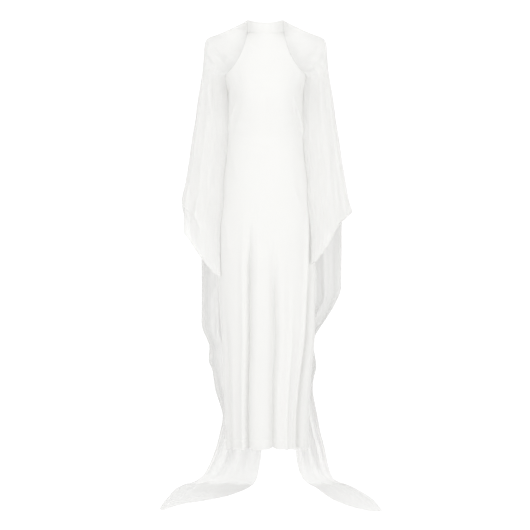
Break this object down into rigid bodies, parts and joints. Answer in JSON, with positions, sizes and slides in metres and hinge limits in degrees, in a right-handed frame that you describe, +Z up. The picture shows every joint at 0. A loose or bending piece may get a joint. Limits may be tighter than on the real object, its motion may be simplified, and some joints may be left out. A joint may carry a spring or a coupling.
{
  "type": "wedding dress",
  "caption": "Long high-necked column wedding dress with sheer cape sleeves that fall behind it into pointed floor-length trains.",
  "frame": {"origin": "middle of the neck at the level of the shoulders, where the wearer holds the dress", "axes": "+Z up along the wearer, -Y out of the front of the dress, +X to the right as seen from the front"},
  "size_m": [0.7431, 0.4572, 1.6625],
  "materials": {
    "crepe": "matte ivory crepe",
    "chiffon": "sheer ivory chiffon",
    "button": "crepe-covered button"
  },
  "bodies": {
    "root": {"front_bodice": "crepe", "back_left_bodice": "crepe", "back_right_bodice": "crepe", "front_hips": "crepe", "back_left_hips": "crepe", "back_right_hips": "crepe", "front_skirt": "crepe", "back_left_skirt": "crepe", "back_right_skirt": "crepe", "collar": "crepe", "sleeve_front_left_upper": "chiffon", "sleeve_front_left_lower": "chiffon", "sleeve_back_left_upper": "chiffon", "sleeve_back_left_lower": "chiffon", "sleeve_back_left_train": "chiffon", "sleeve_front_right_upper": "chiffon", "sleeve_front_right_lower": "chiffon", "sleeve_back_right_upper": "chiffon", "sleeve_back_right_lower": "chiffon", "sleeve_back_right_train": "chiffon", "button_upper": "button", "button_lower": "button"}
  },
  "joints": []
}
